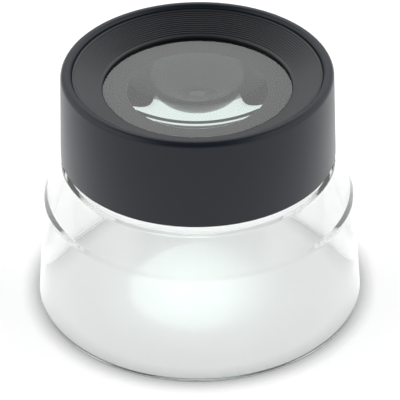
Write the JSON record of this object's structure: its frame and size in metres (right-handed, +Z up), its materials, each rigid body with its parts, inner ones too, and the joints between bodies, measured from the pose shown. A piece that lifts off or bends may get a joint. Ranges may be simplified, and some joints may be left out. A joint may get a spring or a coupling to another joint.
{
  "type": "stand loupe",
  "caption": "Clear bell-shaped stand with a black lens head that screws up and down on its neck to focus a pair of plano-convex lenses on what lies under the foot.",
  "frame": {"origin": "centre of the foot, on the surface that the stand rests on", "axes": "+Z up along the optical axis, which is the axis of every turned piece"},
  "size_m": [0.063, 0.063, 0.049],
  "materials": {
    "clear_acrylic": "clear, polished acrylic",
    "black_shell": "satin black moulded plastic",
    "black_grooved": "matte black moulded plastic with fine grooves",
    "black_inner": "matte black moulded plastic",
    "lens_glass": "polished optical glass with a faint green edge",
    "rubber": "black rubber",
    "acetal": "natural white plastic"
  },
  "bodies": {
    "stand": {"clear_stand": "clear_acrylic", "stop_ring": "acetal"},
    "friction_carriage": {"friction_ring": "rubber"},
    "lens_head": {"lens_housing": "black_shell", "lens_cell": "black_inner", "lower_lens": "lens_glass", "lens_spacer": "black_inner", "upper_lens": "lens_glass", "lens_gasket": "rubber", "grooved_ring": "black_grooved"}
  },
  "joints": [
    {"name": "focus_rise", "type": "slide", "parent": "stand", "child": "friction_carriage", "axis": [0, 0, 1], "range_m": [-0.0018, 0.0018]},
    {"name": "focus_turn", "type": "hinge", "parent": "friction_carriage", "child": "lens_head", "pos_m": [0, 0, 0.036], "axis": [0, 0, 1], "range_deg": [-180, 180]}
  ],
  "couplings": [
    {"joint": "focus_rise", "follows": "focus_turn", "m_per_rad": 0.00057296}
  ]
}
